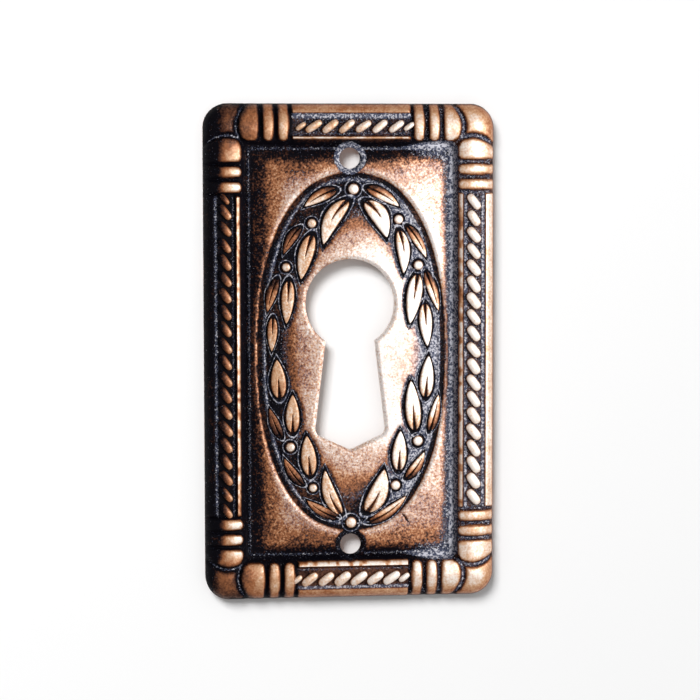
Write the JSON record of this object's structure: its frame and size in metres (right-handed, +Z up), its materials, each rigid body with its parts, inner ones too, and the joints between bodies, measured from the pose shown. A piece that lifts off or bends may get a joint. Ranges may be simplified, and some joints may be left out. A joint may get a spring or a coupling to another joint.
{
  "type": "keyhole escutcheon",
  "caption": "Upright keyhole plate for a drawer or cabinet door, with a rope-bordered rolled frame, a laurel wreath round the keyhole, a pin hole at each end and a hollow back.",
  "frame": {"origin": "middle of the two pin holes, in the plane of the plate's back", "axes": "+Z up the plate, towards the keyhole's round head; +Y out of the back, into the wood; -Y out of the ornamented face"},
  "size_m": [0.0318, 0.0028, 0.054],
  "materials": {
    "antique_copper": "antique copper plate, darkened in the recesses and rubbed bright on the high spots"
  },
  "bodies": {
    "root": {"escutcheon_plate": "antique_copper"}
  },
  "joints": []
}
